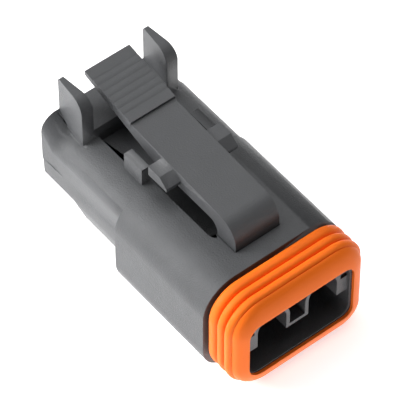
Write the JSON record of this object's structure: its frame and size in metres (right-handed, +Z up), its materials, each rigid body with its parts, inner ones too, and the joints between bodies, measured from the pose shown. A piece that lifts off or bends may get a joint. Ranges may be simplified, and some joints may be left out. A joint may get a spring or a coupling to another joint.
{
  "type": "sealed automotive plug connector",
  "caption": "Sealed plug connector: moulded housing with a sprung latch arm, ribbed face seal, socket with contact cavities, and a wire seal behind its retainer.",
  "frame": {"origin": "middle of the plug's outline, on the flat face that it rests on", "axes": "+Y from the mating edge to the wire end, +Z up to the latch, +X across"},
  "size_m": [0.023, 0.0424, 0.027],
  "materials": {
    "housing_plastic": "moulded satin thermoplastic, grey",
    "latch_plastic": "moulded satin thermoplastic, grey",
    "seal_rubber": "moulded silicone rubber, orange",
    "wire_seal_rubber": "moulded silicone rubber, orange",
    "retainer_plastic": "moulded satin thermoplastic, grey"
  },
  "bodies": {
    "plug": {"housing": "housing_plastic", "interface_seal": "seal_rubber", "wire_seal": "wire_seal_rubber", "seal_retainer": "retainer_plastic"},
    "latch_arm": {"latch": "latch_plastic"}
  },
  "joints": [
    {"name": "latch_press", "type": "hinge", "parent": "plug", "child": "latch_arm", "pos_m": [0, -0.00985, 0.0175], "axis": [1, 0, 0], "range_deg": [-7.2, 0], "stiffness_Nm_per_rad": 3}
  ]
}
